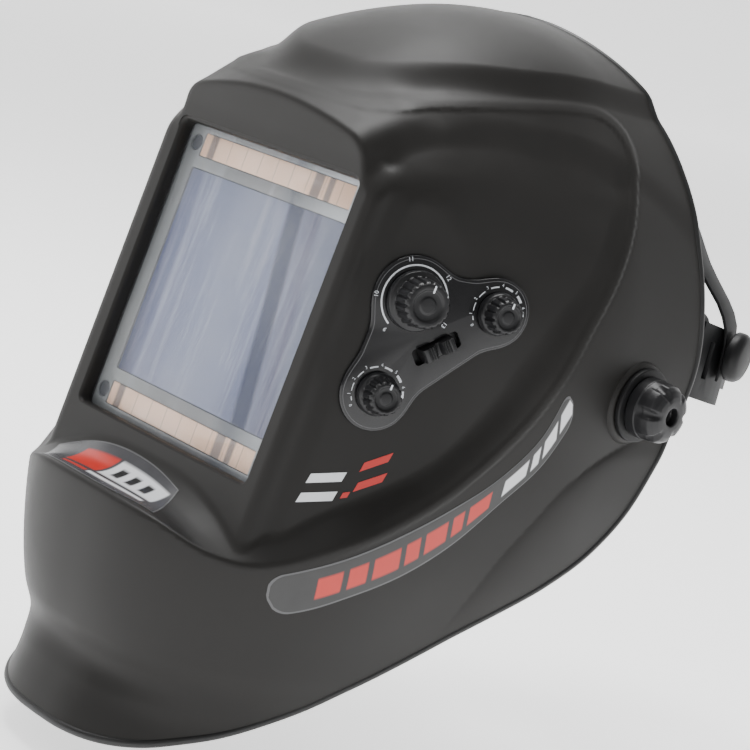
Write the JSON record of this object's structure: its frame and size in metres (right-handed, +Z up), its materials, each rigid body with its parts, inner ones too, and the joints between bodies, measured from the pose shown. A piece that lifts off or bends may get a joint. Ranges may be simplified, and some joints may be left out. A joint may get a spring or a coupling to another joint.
{
  "type": "welding helmet",
  "caption": "Auto-darkening welding helmet: a deep moulded hood with a recessed filter window and side controls, pivoting on an adjustable headgear.",
  "frame": {"origin": "middle of the hood's flip pivot axis, between the wearer's temples", "axes": "+X to the wearer's left, -Y forwards, +Z up, as worn with the hood down"},
  "size_m": [0.268, 0.3615, 0.3224],
  "materials": {
    "shell_black": "fine matt texture",
    "trim_black": "satin",
    "gloss_black": "glossy",
    "band_grey": "satin",
    "pale_grey": "satin",
    "black_rubber": "matt",
    "pad_fabric": "knitted cover over foam",
    "solar_copper": "striped, glossy",
    "sensor_dark": "polished",
    "clear_lens": "polished",
    "filter_glass": "polished, blue coating",
    "steel": "zinc plated",
    "spring_steel": "plain"
  },
  "bodies": {
    "headgear": {"headband": "band_grey", "sweatband": "pad_fabric", "crown_strap": "band_grey", "rear_crown_strap": "band_grey", "rear_band_left": "band_grey", "rear_band_right": "band_grey", "rear_hub_left": "trim_black", "rear_hub_right": "trim_black", "rear_pad": "pad_fabric", "ratchet_plate": "band_grey", "ratchet_cover": "band_grey", "side_arm_left": "band_grey", "side_arm_right": "band_grey"},
    "carriage": {"slide_block_left": "band_grey", "slide_block_right": "band_grey", "pivot_stud_left": "steel", "pivot_stud_right": "steel", "angle_stop_left": "trim_black", "angle_stop_right": "trim_black", "spring_washer_left": "spring_steel", "spring_washer_right": "spring_steel"},
    "hood": {"shell": "shell_black", "lens_gasket": "black_rubber", "front_cover_lens": "clear_lens", "cartridge_front": "pale_grey", "arc_sensor_1": "sensor_dark", "arc_sensor_2": "sensor_dark", "arc_sensor_3": "sensor_dark", "arc_sensor_4": "sensor_dark", "solar_cell_upper": "solar_copper", "solar_cell_lower": "solar_copper", "cartridge_back": "trim_black", "uv_filter_glass": "filter_glass", "shutter_glass": "filter_glass", "cartridge_frame": "trim_black", "inner_cover_lens": "clear_lens", "retaining_frame": "trim_black", "control_fascia": "gloss_black", "control_case": "trim_black", "control_case_cover": "trim_black", "shade_potentiometer": "steel", "sensitivity_potentiometer": "steel", "delay_potentiometer": "steel", "control_lead": "black_rubber", "pivot_flange_left": "trim_black", "pivot_flange_right": "trim_black"},
    "shade_dial": {"shade_knob": "trim_black"},
    "sensitivity_dial": {"sensitivity_knob": "trim_black"},
    "delay_dial": {"delay_knob": "trim_black"},
    "mode_slider": {"mode_switch": "trim_black"},
    "battery_drawer": {"battery_tray": "band_grey", "battery_cell": "steel"},
    "latch_l": {"latch_left": "band_grey"},
    "latch_r": {"latch_right": "band_grey"},
    "tension_l": {"tension_knob_left": "trim_black"},
    "tension_r": {"tension_knob_right": "trim_black"},
    "ratchet": {"ratchet_knob": "trim_black", "ratchet_pinion": "pale_grey"},
    "tail_l": {"rack_left": "pale_grey"},
    "tail_r": {"rack_right": "pale_grey"}
  },
  "joints": [
    {"name": "face_distance", "type": "slide", "parent": "headgear", "child": "carriage", "axis": [0, 1, 0], "range_m": [-0.01, 0.01]},
    {"name": "flip_up", "type": "hinge", "parent": "carriage", "child": "hood", "pos_m": [0, 0, 0], "axis": [-1, 0, 0], "range_deg": [0, 50]},
    {"name": "left_tension_turn", "type": "hinge", "parent": "carriage", "child": "tension_l", "pos_m": [0.1186, 0, 0], "axis": [1, 0, 0], "range_deg": [-180, 180]},
    {"name": "right_tension_turn", "type": "hinge", "parent": "carriage", "child": "tension_r", "pos_m": [-0.1186, 0, 0], "axis": [-1, 0, 0], "range_deg": [-180, 180]},
    {"name": "shade_turn", "type": "hinge", "parent": "hood", "child": "shade_dial", "pos_m": [0.08152, -0.11769, 0.02886], "axis": [0.9085, -0.4116, 0.0726], "range_deg": [-135, 135]},
    {"name": "sensitivity_turn", "type": "hinge", "parent": "hood", "child": "sensitivity_dial", "pos_m": [0.0811, -0.12553, -0.01038], "axis": [0.9085, -0.4116, 0.0726], "range_deg": [-135, 135]},
    {"name": "delay_turn", "type": "hinge", "parent": "hood", "child": "delay_dial", "pos_m": [0.09656, -0.08431, 0.02978], "axis": [0.9085, -0.4116, 0.0726], "range_deg": [-135, 135]},
    {"name": "mode_slide", "type": "slide", "parent": "hood", "child": "mode_slider", "axis": [0.3056, 0.7728, 0.5563], "range_m": [-0.003, 0.003]},
    {"name": "battery_pull", "type": "slide", "parent": "hood", "child": "battery_drawer", "axis": [0.4179, 0.8947, -0.1578], "range_m": [0, 0.022]},
    {"name": "left_latch_turn", "type": "hinge", "parent": "hood", "child": "latch_l", "pos_m": [0.0636, -0.13751, -0.05497], "axis": [0, 0.9848, -0.1736], "range_deg": [0, 90]},
    {"name": "right_latch_turn", "type": "hinge", "parent": "hood", "child": "latch_r", "pos_m": [-0.0636, -0.13751, -0.05497], "axis": [0, -0.9848, 0.1736], "range_deg": [0, 90]},
    {"name": "ratchet_turn", "type": "hinge", "parent": "headgear", "child": "ratchet", "pos_m": [0, 0.1392, 0.00671], "axis": [0, 1, 0], "range_deg": [-70, 70]},
    {"name": "left_tail_slide", "type": "slide", "parent": "headgear", "child": "tail_l", "axis": [1, 0, 0], "range_m": [-0.008, 0.008]},
    {"name": "right_tail_slide", "type": "slide", "parent": "headgear", "child": "tail_r", "axis": [-1, 0, 0], "range_m": [-0.008, 0.008]}
  ],
  "couplings": [
    {"joint": "left_tail_slide", "follows": "ratchet_turn", "m_per_rad": 0.0064},
    {"joint": "right_tail_slide", "follows": "ratchet_turn", "m_per_rad": 0.0064}
  ]
}
